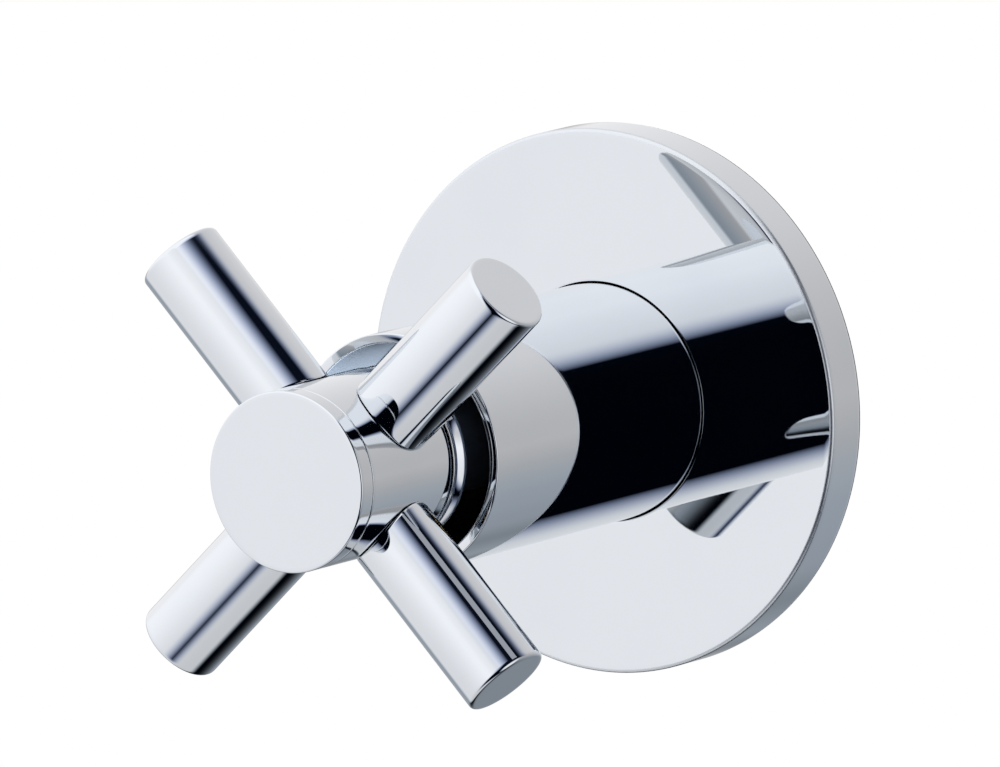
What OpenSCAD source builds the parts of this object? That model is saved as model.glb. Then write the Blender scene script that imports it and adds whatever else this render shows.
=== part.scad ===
// Concealed stop valve: chrome cross handle, sleeve and wall plate in front of the
// finished wall, and a brass valve body with a quarter-turn ceramic disc cartridge
// behind it. The spindle lies along Y, the handle is towards -Y, the finished wall
// is the plane y = 0, and the origin is where the spindle's axis meets that wall.

/* [Wall plate] */
// Outside diameter of the round wall plate
plate_d = 65; // [60:1:75]
// Height of the plate's front face above the finished wall
plate_h = 6; // [5:0.5:8]
// Thickness of the plate's front wall
plate_wall = 1.6; // [1.2:0.2:2]
// Thickness of the plate's rim
plate_rim = 1.5; // [1.2:0.1:2]
// Radius of the plate's soft front edge
plate_edge_r = 1; // [0.4:0.1:1.2]
// Thickness of the collar that guides the plate on the sleeve
plate_collar = 3; // [2.6:0.1:4]
// Width of the foam gasket behind the plate
gasket_w = 4.4; // [3:0.2:6]
// Section diameter of the O-ring between plate and sleeve
plate_ring_d = 2; // [1.6:0.1:2.2]

/* [Sleeve] */
// Outside diameter of the sleeve
sleeve_d = 28.4; // [27.8:0.2:30]
// Thickness of the sleeve's wall
sleeve_wall = 1.2; // [0.8:0.1:1.3]
// Radius of the inner and outer edge of the sleeve's mouth
mouth_edge_r = 0.2; // [0.1:0.05:0.35]
// Distance from the finished wall to the sleeve's open mouth
sleeve_front = 49.3; // [45:0.1:60]
// Length of the threaded bush pressed into the sleeve's wall end
bush_len = 8; // [6:0.5:10]

/* [Handle] */
// Diameter of the hub and its cap
hub_d = 21.3; // [20.5:0.1:23]
// Length of the hub's barrel behind the cap
hub_len = 16.3; // [15.8:0.1:20]
// Thickness of the cap on the front of the hub
cap_h = 2.4; // [1.8:0.1:3]
// Radius of the edges of hub and cap
hub_edge_r = 0.5; // [0.3:0.1:0.7]
// Diameter of each handle bar
bar_d = 10.3; // [9:0.1:11]
// Distance from the spindle's axis to a bar's tip
bar_reach = 32.4; // [28:0.2:38]
// Distance from the hub's rear edge to the bars' axes
bar_from_rear = 7; // [6.5:0.1:7.5]
// Radius of the edge at a bar's tip
bar_edge_r = 0.45; // [0.3:0.05:0.8]
// Diameter of the spigot that holds a bar in the hub
bar_spigot_d = 5.6; // [4:0.2:5.8]
// Angle of the first bar above the horizontal when the valve is closed
bar_angle = 45; // [0:5:90]

/* [Rings behind the hub] */
// Thickness of the thin ring behind the hub
thin_ring = 0.8; // [0.6:0.1:1]
// Thickness of the rearmost ring
thick_ring = 1.3; // [1:0.1:1.6]
// Length of the bevel on the front of the rearmost ring
ring_bevel_len = 0.8; // [0.5:0.1:0.8]
// Depth of that bevel
ring_bevel_depth = 0.5; // [0.3:0.1:0.5]
// Width of each groove beside the rings
ring_groove = 0.55; // [0.4:0.05:0.7]
// Depth of the grooves beside the rings
ring_groove_depth = 0.8; // [0.5:0.1:1.2]
// Gap between the rearmost ring and the sleeve's mouth
mouth_gap = 0.9; // [0.5:0.1:2]

/* [Valve body] */
// Depth of the body's front face behind the finished wall
boss_depth = 8; // [8:1:20]
// Outside diameter of the body's front boss
boss_d = 29; // [28.4:0.2:32]
// Distance from the front face of the boss down to the seat
seat_depth = 23; // [22:0.5:26]
// Distance between the ends of the two pipe ports
port_span = 56; // [54:1:70]
// Outside diameter of the body along the pipes
run_d = 26; // [25.4:0.2:29]
// Width across the flats of the hexagon at each port
port_hex = 27; // [26:0.5:30]
// Length of the hexagon at each port
port_hex_len = 10; // [7:0.5:11]
// Thread core diameter of a G1/2 pipe port
port_bore_d = 18.631; // [18.631:0.001:18.632]
// Depth of the thread in each port
port_depth = 13; // [11:0.5:13.5]
// Diameter of the passages inside the body
passage_d = 8.4; // [7:0.2:8.6]
// Diameter of the orifice under the seat
orifice_d = 13; // [11:0.5:13.4]

/* [Cartridge] */
// Diameter of the cartridge's thread in the body
cartridge_thread_d = 20.8; // [20.4:0.1:21]
// Length of the cartridge's thread in the body
cartridge_thread_len = 8; // [7:0.5:9]
// Width across the flats of the cartridge's hexagon
cartridge_hex = 24; // [23.5:0.5:24.5]
// Thickness of the cartridge's hexagon
cartridge_hex_h = 5; // [4:0.5:6]
// Diameter of the cartridge's front barrel, which carries the sleeve
barrel_d = 19; // [18:0.2:20]
// Distance the front barrel stands out of the finished wall
barrel_front = 12; // [11:0.5:13]
// Outside diameter of the cartridge's cage
cage_d = 17.6; // [17.4:0.2:18.2]
// Wall thickness of the cage
cage_wall = 1; // [0.9:0.05:1.1]
// Angle that each side window of the cage spans
window_angle = 84; // [60:2:90]
// Thickness of the fixed ceramic disc
fixed_disc_h = 3; // [2.5:0.1:3.2]
// Thickness of the moving ceramic disc
moving_disc_h = 2.5; // [2.2:0.1:2.8]
// Thickness of the rubber seal under the discs
seal_h = 1.5; // [1.2:0.1:1.8]
// Thickness of the slip washer above the spindle's foot
slip_washer_h = 0.5; // [0.4:0.1:0.8]
// Thickness of the flat washer under the cartridge's hexagon
body_washer_h = 1; // [0.8:0.1:1.5]

/* [Spindle] */
// Diameter of the spindle where it turns in the cartridge
spindle_d = 9.2; // [9:0.1:9.6]
// Tip diameter of the spindle's splines
spline_d = 8; // [7.8:0.1:8.4]
// Number of splines
spline_count = 20; // [16:1:24]
// Depth of the splines
spline_depth = 0.45; // [0.3:0.05:0.6]
// Length of the spindle's splines
spline_len = 9.6; // [8:0.2:11]
// Section diameter of the spindle's O-rings
spindle_ring_d = 1.3; // [1.1:0.1:1.5]
// Diameter of the extension rod between spindle and hub
rod_d = 12.4; // [11.6:0.2:12.6]
// Tip diameter of the splines that carry the hub
hub_spline_d = 9.2; // [9:0.1:9.4]
// Diameter of the long handle screw
screw_d = 4; // [3.5:0.5:4]
// Diameter of the handle screw's head
screw_head_d = 7.2; // [6.6:0.2:7.6]
// Height of the handle screw's head
screw_head_h = 2.4; // [2:0.1:2.6]
// Width across the flats of the screw's hexagon socket
screw_socket = 2.5; // [2:0.5:3]

/* [Clearances] */
// Radial gap between pieces that are screwed or pushed together
seat_gap = 0.05; // [0.03:0.01:0.1]
// Radial running gap of the spindle in the cartridge
running_gap = 0.05; // [0.02:0.01:0.08]
// Gap between the two ceramic discs, and at the slip washer
lap_gap = 0.02; // [0.01:0.01:0.04]
// Seam where a bar meets the hub
bar_seam = 0.1; // [0.05:0.01:0.15]
// Radial gap between plate and sleeve
plate_gap = 0.2; // [0.1:0.05:0.3]
// Radial gap between moving disc and cage
disc_gap = 0.3; // [0.3:0.05:0.4]

/* [Hidden] */
$fn = 96;
// Overlap that joins two solids, overrun of a cut past a face, and reach of a long cut
eps = 0.01;
overrun = 1;
far = 100;

// Heights along the spindle, measured out from the finished wall towards the handle.
// Everything behind the wall has a negative height.
boss_z = -boss_depth;
seat_z = boss_z - seat_depth;
hex_rear_z = boss_z + body_washer_h;
thread_end_z = boss_z - cartridge_thread_len;
seal_top_z = seat_z + seal_h;
fixed_top_z = seal_top_z + fixed_disc_h;
moving_base_z = fixed_top_z + lap_gap;
moving_top_z = moving_base_z + moving_disc_h;
foot_base_z = moving_top_z + lap_gap;
foot_h = 4.4;
foot_flange_h = 1.5;
foot_w = 6.4;
foot_top_z = foot_base_z + foot_h;
shoulder_z = foot_top_z + lap_gap + slip_washer_h;
cage_end_z = seat_z + seal_h / 2;
sleeve_rear_z = 0.6;
bush_rear_z = 1;
collar_rear_z = 1;

rings_rear_z = sleeve_front + mouth_gap;
hub_rear_z = rings_rear_z + thick_ring + thin_ring + 2 * ring_groove;
bar_z = hub_rear_z + bar_from_rear;
cap_z = hub_rear_z + hub_len;
hub_front_z = cap_z + cap_h;

// Radii
plate_r = plate_d / 2;
sleeve_r = sleeve_d / 2;
sleeve_bore_r = sleeve_r - sleeve_wall;
collar_bore_r = sleeve_r + plate_gap;
collar_r = collar_bore_r + plate_collar;
barrel_r = barrel_d / 2;
thread_r = cartridge_thread_d / 2;
cage_r = cage_d / 2;
cage_bore_r = cage_r - cage_wall;
disc_r = cage_bore_r - disc_gap;
spindle_r = spindle_d / 2;
spindle_bore_r = spindle_r + running_gap;
hub_r = hub_d / 2;
bar_r = bar_d / 2;
rod_r = rod_d / 2;
port_bore_r = port_bore_d / 2;
passage_r = passage_d / 2;
screw_r = screw_d / 2;

// Body
run_r = run_d / 2;
boss_r = boss_d / 2;
boss_band_h = 6;
boss_step = 0.8;
boss_bottom_r = 4;
boss_base_z = seat_z - run_r - 0.4;
chamber_room = 0.6;
chamber_r = thread_r + chamber_room;
port_end = port_span / 2;
port_floor = port_end - port_depth;
port_step = 1;
passage_step = 0.1;
passage_shift = port_bore_r - passage_r - passage_step;
inlet_z = seat_z - passage_shift;
outlet_z = seat_z + passage_shift;
under_seat_z = inlet_z - passage_r - chamber_room;
hex_chamfer = 1.2;
hex_chamfer_in = 2;

// Plate and sleeve
plate_groove_edge = 0.2;
plate_groove_room = 0.4;
bush_chamfer = 0.85;

// Discs and cage
disc_rim = 1.1;
disc_hub_r = 2;
disc_window_angle = 74;
key_room = 0.1;
key_step = 0.2;
seal_w = 1.7;
lobe_cut_angle = 78;
lobe_hub_r = 2.6;
window_sill = 0.3;
window_head = 0.7;

// Spindle, splines and screw
spline_tip_share = 0.34;
spline_root_share = 0.34;
circlip_h = 0.8;
circlip_gap = 0.4;
circlip_play = 0.1;
circlip_r = spindle_r + 1.5;
circlip_z = barrel_front + circlip_gap;
circlip_groove_r = spindle_r - 0.9;
circlip_mouth = 1.6 * circlip_groove_r;
end_gap = 0.2;
spline_z = circlip_z + circlip_h + end_gap;
rod_rear_z = spline_z + 2 * end_gap;
ring_groove_r = spindle_r - spindle_ring_d - seat_gap;
ring_groove_w = spindle_ring_d + 0.3;
ring_first_z = 4;
ring_pitch = 4;
ring_heights = [for (i = [0 : 1]) ring_first_z - i * ring_pitch];
spigot_h = 2.6;
rings_reach_z = hub_rear_z + spigot_h;
hub_spline_len = 7.2;
hub_spline_top_z = rings_reach_z + hub_spline_len;
web_z = hub_spline_top_z + end_gap;
web_h = 2.2;
head_z = web_z + web_h;
tip_room = 1;
screw_tip_z = spline_z - tip_room;
tapped_depth_z = screw_tip_z - tip_room;
screw_room = 0.2;
socket_depth = 1.5;
key_w = 3;
tongue_w = 2.8;
tongue_h = 1.2;
tongue_inset = 1.4;

// Hub, rings and cap
cap_plug_r = 7.4;
cap_plug_wall = 1.3;
cap_plug_h = 2;
bar_socket_r = 6.5;
bar_end_gap = 0.1;
barrel_edge_r = 0.25;
ring_spigot_r = 8;
ring_set_back = 0.15;
ring_bore_gap = 0.1;
ring_edge = 0.1;

chrome = [0.86, 0.87, 0.89];
brass = [0.80, 0.65, 0.36];
steel = [0.68, 0.69, 0.71];
rubber = [0.10, 0.10, 0.11];
ceramic = [0.93, 0.91, 0.86];
ptfe = [0.95, 0.95, 0.93];
foam = [0.35, 0.36, 0.38];

// Turns a form that was built upright so that its top faces the room
module to_room() rotate([90, 0, 0]) children();

// A turned piece: the profile is radius across, height up
module turned() to_room() rotate_extrude() children();

// Flat ring section between two radii and two heights
module band(r_in, r_out, z_low, z_high)
  translate([r_in, z_low]) square([r_out - r_in, z_high - z_low]);

// The same band with its outer top corner rounded
module band_top_round(r_in, r_out, z_low, z_high, edge) {
  band(r_in, r_out - edge, z_low, z_high);
  band(r_in, r_out, z_low, z_high - edge);
  translate([r_out - edge, z_high - edge]) circle(edge, $fn = 48);
}

// The same band with both outer corners rounded
module band_round(r_in, r_out, z_low, z_high, edge) {
  band(r_in, r_out - edge, z_low, z_high);
  band(r_in, r_out, z_low + edge, z_high - edge);
  for (z = [z_low + edge, z_high - edge])
    translate([r_out - edge, z]) circle(edge, $fn = 48);
}

// Outline of a splined shaft: each tooth has a flat tip and a flat root, each of them
// a share of the tooth's pitch
function spline_points(tip_r, root_r, count) = [
  for (i = [0 : count - 1])
    for (corner = [[-spline_tip_share / 2, tip_r], [spline_tip_share / 2, tip_r],
        [(1 - spline_root_share) / 2, root_r], [(1 + spline_root_share) / 2, root_r]])
      let (a = 360 * (i + corner[0]) / count)
        [corner[1] * cos(a), corner[1] * sin(a)]
];

module spline(tip_d, gap, length)
  linear_extrude(length)
    polygon(spline_points(tip_d / 2 + gap, tip_d / 2 - spline_depth + gap, spline_count));

// A pair of opposite wedges, used to cut windows and lobes
module wedges(angle, height) {
  reach = 2 * cage_r;
  half = angle / 2;
  for (turn = [0, 180])
    rotate(turn)
      linear_extrude(height)
        polygon([[0, 0], [reach * cos(half), -reach * sin(half)],
          [reach * cos(half), reach * sin(half)]]);
}

module hexagon(across, height)
  cylinder(h = height, r = across / sqrt(3), $fn = 6);

// A nut-like hexagon whose outer corners are turned off at one end
module chamfered_hexagon(across, height) {
  corner_r = across / sqrt(3);
  intersection() {
    hexagon(across, height);
    union() {
      cylinder(h = height - hex_chamfer, r = corner_r + overrun);
      translate([0, 0, height - hex_chamfer])
        cylinder(h = hex_chamfer, r1 = corner_r, r2 = corner_r - hex_chamfer_in);
    }
  }
}

// Round dished plate with a guide collar and an O-ring groove at its centre
module wall_plate() color(chrome) turned() difference() {
  union() {
    difference() {
      band_top_round(collar_bore_r, plate_r, 0, plate_h, plate_edge_r);
      band(0, plate_r - plate_rim, -eps, plate_h - plate_wall);
    }
    band(collar_bore_r, collar_r, collar_rear_z, plate_h - plate_wall + eps);
  }
  plate_ring_groove();
}

module plate_ring_groove() {
  groove_z = collar_rear_z + plate_groove_edge;
  band(0, collar_bore_r + plate_ring_d - plate_gap + seat_gap,
    groove_z, groove_z + plate_ring_d + plate_groove_room);
}

// Closed-cell foam that beds the plate on the wall
module plate_gasket() color(foam) turned()
  band(plate_r - plate_rim - gasket_w, plate_r - plate_rim - seat_gap,
    0, plate_h - plate_wall - seat_gap);

module plate_o_ring() color(rubber) turned()
  translate([sleeve_r + seat_gap / 2 + plate_ring_d / 2,
      collar_rear_z + plate_groove_edge + (plate_ring_d + plate_groove_room) / 2])
    circle(plate_ring_d / 2, $fn = 48);

// Thin tube, open towards the handle, with both edges of its flat mouth rounded
module sleeve() color(chrome) turned() {
  edge_in = sleeve_bore_r + mouth_edge_r;
  edge_out = sleeve_r - mouth_edge_r;
  band(sleeve_bore_r, sleeve_r, sleeve_rear_z, sleeve_front - mouth_edge_r);
  band(edge_in, edge_out, sleeve_rear_z, sleeve_front);
  for (r = [edge_in, edge_out])
    translate([r, sleeve_front - mouth_edge_r]) circle(mouth_edge_r, $fn = 48);
}

// Brass bush that screws the sleeve onto the cartridge's front barrel
module sleeve_bush() color(brass) turned() difference() {
  bush_front_z = bush_rear_z + bush_len;
  band(barrel_r + seat_gap, sleeve_bore_r - seat_gap, bush_rear_z, bush_front_z);
  translate([barrel_r + seat_gap, bush_front_z]) rotate(45)
    square(sqrt(2) * bush_chamfer, center = true);
}

// Front boss of the body: a turned band at its mouth over a slightly slimmer cast
// wall, which ends in a rounded bottom
module body_boss() rotate_extrude() {
  cast_r = boss_r - boss_step;
  band(0, cast_r - boss_bottom_r, boss_base_z, boss_z - boss_step);
  band(0, cast_r, boss_base_z + boss_bottom_r, boss_z - boss_step);
  translate([cast_r - boss_bottom_r, boss_base_z + boss_bottom_r]) circle(boss_bottom_r);
  polygon([[0, boss_z], [cast_r, boss_z], [boss_r, boss_z - boss_step],
    [boss_r, boss_z - boss_band_h], [cast_r, boss_z - boss_band_h - boss_step],
    [0, boss_z - boss_band_h - boss_step]]);
}

// Cast brass body: a straight run with a hexagon at each port, and the boss that
// takes the cartridge. The inlet goes under the seat, the outlet leaves above it.
module valve_body() color(brass) to_room() difference() {
  union() {
    body_boss();
    translate([0, -port_end + port_step, seat_z]) rotate([-90, 0, 0])
      cylinder(h = port_span - 2 * port_step, r = run_r);
    for (side = [-90, 90])
      translate([0, 0, seat_z]) rotate([side, 0, 0])
        translate([0, 0, port_end - port_hex_len]) chamfered_hexagon(port_hex, port_hex_len);
  }
  // Thread for the cartridge, and the outlet chamber round its cage
  translate([0, 0, thread_end_z]) cylinder(h = far, r = thread_r + seat_gap);
  translate([0, 0, seat_z])
    cylinder(h = thread_end_z - seat_z + eps, r = chamber_r);
  // Orifice under the seat
  translate([0, 0, under_seat_z]) cylinder(h = seat_z - under_seat_z + eps, r = orifice_d / 2);
  for (side = [-90, 90])
    translate([0, 0, seat_z]) rotate([side, 0, 0])
      translate([0, 0, port_floor]) cylinder(h = far, r = port_bore_r);
  translate([0, 0, inlet_z]) rotate([90, 0, 0]) cylinder(h = port_floor + eps, r = passage_r);
  translate([0, 0, outlet_z]) rotate([-90, 0, 0]) cylinder(h = port_floor + eps, r = passage_r);
}

module body_washer() color(foam) turned()
  band(thread_r + seat_gap, cartridge_hex / 2, boss_z, hex_rear_z);

// Turned brass housing: front barrel, hexagon, thread, and the cage with two side
// windows that lets the water out round the discs
module cartridge_housing() color(brass) to_room() difference() {
  union() {
    translate([0, 0, hex_rear_z]) cylinder(h = barrel_front - hex_rear_z, r = barrel_r);
    translate([0, 0, hex_rear_z]) chamfered_hexagon(cartridge_hex, cartridge_hex_h);
    translate([0, 0, thread_end_z]) cylinder(h = hex_rear_z - thread_end_z + eps, r = thread_r);
    translate([0, 0, cage_end_z]) cylinder(h = thread_end_z - cage_end_z + eps, r = cage_r);
  }
  translate([0, 0, cage_end_z - overrun]) cylinder(h = far, r = spindle_bore_r);
  translate([0, 0, cage_end_z - overrun])
    cylinder(h = shoulder_z - cage_end_z + overrun, r = cage_bore_r);
  // Side windows, level with the moving disc and the spindle's foot
  translate([0, 0, fixed_top_z + window_sill])
    wedges(window_angle, shoulder_z - fixed_top_z - window_sill - window_head);
  // Key slots for the fixed disc
  translate([-key_w / 2, -far / 2, cage_end_z - overrun])
    cube([key_w, far, fixed_top_z - cage_end_z + overrun]);
}

module slip_washer() color(ptfe) turned()
  band(spindle_bore_r, disc_r, shoulder_z - slip_washer_h, shoulder_z);

// Ceramic disc held still by two keys in the cage, with two sector windows
module fixed_disc() color(ceramic) to_room() difference() {
  union() {
    translate([0, 0, seal_top_z]) cylinder(h = fixed_disc_h, r = disc_r);
    translate([0, 0, seal_top_z]) intersection() {
      cylinder(h = fixed_disc_h - key_step, r = cage_r - key_room);
      translate([-key_w / 2 + seat_gap, -far / 2, 0])
        cube([key_w - 2 * seat_gap, far, fixed_disc_h]);
    }
  }
  disc_windows(seal_top_z - overrun, fixed_disc_h + 2 * overrun);
}

module disc_windows(z, height)
  translate([0, 0, z]) intersection() {
    difference() {
      cylinder(h = height, r = disc_r - disc_rim);
      translate([0, 0, -overrun]) cylinder(h = height + 2 * overrun, r = disc_hub_r);
    }
    wedges(disc_window_angle, height);
  }

// Rubber ring that presses the fixed disc up and seals it to the body's seat
module disc_seal() color(rubber) turned()
  band(disc_r - seal_w, disc_r, seat_z, seal_top_z);

// Bow-tie shaped ceramic disc that the spindle turns
module moving_disc() color(ceramic) to_room() difference() {
  translate([0, 0, moving_base_z]) cylinder(h = moving_disc_h, r = disc_r);
  rotate(90) difference() {
    translate([0, 0, moving_base_z - overrun])
      wedges(lobe_cut_angle, moving_disc_h + 2 * overrun);
    translate([0, 0, moving_base_z - 2 * overrun])
      cylinder(h = moving_disc_h + 4 * overrun, r = lobe_hub_r);
  }
  tongue(seat_gap);
}

// Tongue under the spindle's foot, and the slot for it in the moving disc
module tongue(gap)
  translate([0, 0, foot_base_z - tongue_h - gap])
    linear_extrude(tongue_h + gap + lap_gap + eps)
      square([2 * (disc_r - tongue_inset + gap), tongue_w + 2 * gap], center = true);

// Spindle: foot, journal with two O-ring grooves, circlip groove and splined end
module spindle() color(brass) to_room() difference() {
  union() {
    tongue(0);
    translate([0, 0, foot_base_z]) intersection() {
      cylinder(h = foot_h, r = disc_r);
      union() {
        translate([-disc_r, -foot_w / 2, 0]) cube([2 * disc_r, foot_w, foot_h]);
        cylinder(h = foot_h, r = spindle_r);
        translate([0, 0, foot_h - foot_flange_h]) cylinder(h = foot_flange_h, r = disc_r);
      }
    }
    translate([0, 0, foot_top_z - eps]) cylinder(h = spline_z - foot_top_z + eps, r = spindle_r);
    translate([0, 0, spline_z - eps]) spline(spline_d, 0, spline_len + eps);
  }
  rotate_extrude() {
    for (z = ring_heights) band(ring_groove_r, far, z, z + ring_groove_w);
    band(circlip_groove_r, far, circlip_z - circlip_play, circlip_z + circlip_h + circlip_play);
  }
  translate([0, 0, tapped_depth_z]) cylinder(h = far, r = screw_r + seat_gap);
}

module spindle_o_rings() color(rubber) turned()
  for (z = ring_heights)
    translate([ring_groove_r + seat_gap / 2 + spindle_ring_d / 2, z + ring_groove_w / 2])
      circle(spindle_ring_d / 2, $fn = 48);

// Open steel ring that stops the spindle from sliding back into the cartridge
module spindle_circlip() color(steel) to_room()
  translate([0, 0, circlip_z]) difference() {
    cylinder(h = circlip_h, r = circlip_r);
    translate([0, 0, -overrun])
      cylinder(h = circlip_h + 2 * overrun, r = circlip_groove_r + seat_gap);
    translate([0, -circlip_mouth / 2, -overrun])
      cube([far, circlip_mouth, circlip_h + 2 * overrun]);
  }

// Rod that carries the turn from the spindle out to the hub, with a splined socket
// at its wall end and a splined head in the hub
module extension_rod() color(brass) to_room() difference() {
  union() {
    translate([0, 0, rod_rear_z]) cylinder(h = rings_reach_z - rod_rear_z, r = rod_r);
    translate([0, 0, rings_reach_z - eps]) spline(hub_spline_d, 0, hub_spline_len + eps);
  }
  translate([0, 0, rod_rear_z - overrun])
    spline(spline_d, seat_gap, spline_len + overrun + end_gap);
  translate([0, 0, rod_rear_z]) cylinder(h = far, r = screw_r + screw_room);
}

// Long screw through hub and rod into the spindle's end
module handle_screw() color(steel) to_room() difference() {
  union() {
    translate([0, 0, screw_tip_z]) cylinder(h = head_z - screw_tip_z + eps, r = screw_r);
    translate([0, 0, head_z]) cylinder(h = screw_head_h, r = screw_head_d / 2);
  }
  translate([0, 0, head_z + screw_head_h - socket_depth])
    hexagon(screw_socket, socket_depth + overrun);
}

// Barrel of the handle, bored from both ends and drilled for the four bars
module handle_hub() color(chrome) to_room() difference() {
  rotate_extrude() difference() {
    band_round(screw_r + screw_room, hub_r, hub_rear_z, cap_z, barrel_edge_r);
    band(0, ring_spigot_r + seat_gap, hub_rear_z - eps, rings_reach_z);
    band(0, cap_plug_r + seat_gap, head_z, cap_z + eps);
  }
  translate([0, 0, rings_reach_z - eps]) spline(hub_spline_d, seat_gap, web_z - rings_reach_z + eps);
  for (turn = [0 : 90 : 270])
    translate([0, 0, bar_z]) rotate([0, 90, bar_angle + turn])
      translate([0, 0, bar_socket_r]) cylinder(h = far, r = bar_spigot_d / 2 + seat_gap);
}

// Two turned rings behind the hub, on a spigot that sits in the hub's rear bore. The
// rearmost has a short land and a bevel that faces the hub.
module hub_rings() color(chrome) turned() {
  ring_r = hub_r - ring_set_back;
  bore_r = rod_r + ring_bore_gap;
  thick_top_z = rings_rear_z + thick_ring;
  thin_z = thick_top_z + ring_groove;
  polygon([[bore_r, rings_rear_z], [ring_r - ring_edge, rings_rear_z],
    [ring_r, rings_rear_z + ring_edge], [ring_r, thick_top_z - ring_bevel_len],
    [ring_r - ring_bevel_depth, thick_top_z], [bore_r, thick_top_z]]);
  band_round(bore_r, ring_r, thin_z, thin_z + thin_ring, ring_edge);
  band(bore_r, ring_r - ring_groove_depth, rings_rear_z, hub_rear_z);
  band(bore_r, ring_spigot_r, rings_rear_z, rings_reach_z - ring_bore_gap);
}

// Plain cap that covers the screw, pushed into the hub's front bore
module hub_cap() color(chrome) turned() {
  band_top_round(0, hub_r, cap_z + bar_seam, hub_front_z, hub_edge_r);
  band(cap_plug_r - cap_plug_wall, cap_plug_r, cap_z - cap_plug_h, cap_z + bar_seam + eps);
}

// One handle bar, coped to the hub's barrel and held by a spigot
module handle_bar(turn)
  color(chrome) to_room() translate([0, 0, bar_z]) rotate(bar_angle + turn) {
    difference() {
      rotate([0, 90, 0]) rotate_extrude()
        band_top_round(0, bar_r, bar_socket_r, bar_reach, bar_edge_r);
      translate([0, 0, -bar_d]) cylinder(h = 2 * bar_d, r = hub_r + bar_seam);
    }
    rotate([0, 90, 0]) translate([0, 0, bar_socket_r + bar_end_gap])
      cylinder(h = hub_r, r = bar_spigot_d / 2);
  }

module bar_upper_right() handle_bar(0);
module bar_upper_left() handle_bar(90);
module bar_lower_left() handle_bar(180);
module bar_lower_right() handle_bar(270);

wall_plate();
plate_gasket();
plate_o_ring();
sleeve();
sleeve_bush();
valve_body();
body_washer();
cartridge_housing();
slip_washer();
fixed_disc();
disc_seal();
moving_disc();
spindle();
spindle_o_rings();
spindle_circlip();
extension_rod();
handle_screw();
handle_hub();
hub_rings();
hub_cap();
bar_upper_right();
bar_upper_left();
bar_lower_left();
bar_lower_right();
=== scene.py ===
import math

import bmesh
import bpy
from mathutils import Matrix, Vector, noise


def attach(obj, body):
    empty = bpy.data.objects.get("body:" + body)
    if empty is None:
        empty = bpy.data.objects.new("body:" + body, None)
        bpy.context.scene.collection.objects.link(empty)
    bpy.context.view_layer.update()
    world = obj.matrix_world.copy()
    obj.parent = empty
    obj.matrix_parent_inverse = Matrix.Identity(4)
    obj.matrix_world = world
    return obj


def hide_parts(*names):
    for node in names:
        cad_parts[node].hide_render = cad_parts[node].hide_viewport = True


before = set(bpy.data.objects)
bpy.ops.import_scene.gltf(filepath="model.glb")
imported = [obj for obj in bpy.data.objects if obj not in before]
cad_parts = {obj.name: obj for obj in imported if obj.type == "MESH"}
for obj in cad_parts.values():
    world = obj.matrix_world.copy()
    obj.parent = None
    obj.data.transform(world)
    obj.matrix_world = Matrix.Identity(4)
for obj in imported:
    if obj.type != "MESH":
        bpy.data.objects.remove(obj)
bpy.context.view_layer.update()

# Wall plate.
# A round dished plate, turned and then chrome plated, with a mirror front, a softly
# buffed edge and a thick rim. Its collar slides on the sleeve and holds an O-ring.
MM = 0.001


def new_node(tree, kind, feeds=None, **options):
    """Adds a node, sets its options, and feeds each named input a socket or a plain value."""
    made = tree.nodes.new(kind)
    for option, value in options.items():
        setattr(made, option, value)
    for socket, value in (feeds or {}).items():
        if isinstance(value, bpy.types.NodeSocket):
            tree.links.new(value, made.inputs[socket])
        else:
            made.inputs[socket].default_value = value
    return made


def turned_outline(outline, rounds=()):
    """A closed outline of (radius, height in front of the wall) pairs in millimetres, with some
    corners rounded: rounds holds (edge radius, segments, [corner numbers])."""
    shape = bmesh.new()
    corners = [shape.verts.new((radius * MM, -height * MM, 0)) for radius, height in outline]
    shape.faces.new(corners)
    for edge_radius, segments, which in rounds:
        bmesh.ops.bevel(shape, geom=[corners[i] for i in which], offset=edge_radius * MM,
                        offset_type="OFFSET", segments=segments, profile=0.5,
                        affect="VERTICES", material=-1)
    bmesh.ops.delete(shape, geom=shape.faces[:], context="FACES_ONLY")
    return shape


def spin_round(shape, steps, axis=(0, 1, 0)):
    """Spins what the bmesh holds once round an axis through the origin, and closes it."""
    bmesh.ops.spin(shape, geom=shape.verts[:] + shape.edges[:], cent=(0, 0, 0), axis=axis,
                   angle=2 * math.pi, steps=steps, use_merge=True, use_duplicate=False)
    bmesh.ops.remove_doubles(shape, verts=shape.verts[:], dist=1e-7)
    on_axis = [edge for edge in shape.edges if not edge.link_faces]
    bmesh.ops.delete(shape, geom=on_axis, context="EDGES")
    bmesh.ops.recalc_face_normals(shape, faces=shape.faces[:])


def finished_piece(name, shape, material, slot, body, *stands_for, sharp=32):
    """Makes the bmesh an object that takes the place of CAD nodes and moves with their body."""
    mesh = bpy.data.meshes.new(name)
    shape.to_mesh(mesh)
    shape.free()
    for face in mesh.polygons:
        face.use_smooth = True
    mesh.set_sharp_from_angle(angle=math.radians(sharp))
    mesh.materials.append(material)
    piece = bpy.data.objects.new(name, mesh)
    bpy.context.scene.collection.objects.link(piece)
    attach(piece, body)
    if stands_for:
        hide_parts(*stands_for)
    return piece


def effect_group(name, inputs, outputs):
    """A node group with its named inputs, their first values and its outputs, still without nodes."""
    group = bpy.data.node_groups.new(name, "ShaderNodeTree")
    for socket_name, kind, start in inputs:
        socket = group.interface.new_socket(name=socket_name, in_out="INPUT",
                                            socket_type="NodeSocket" + kind)
        if start is not None:
            socket.default_value = start
    for socket_name, kind in outputs:
        group.interface.new_socket(name=socket_name, in_out="OUTPUT", socket_type="NodeSocket" + kind)
    return group, new_node(group, "NodeGroupInput").outputs


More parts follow.
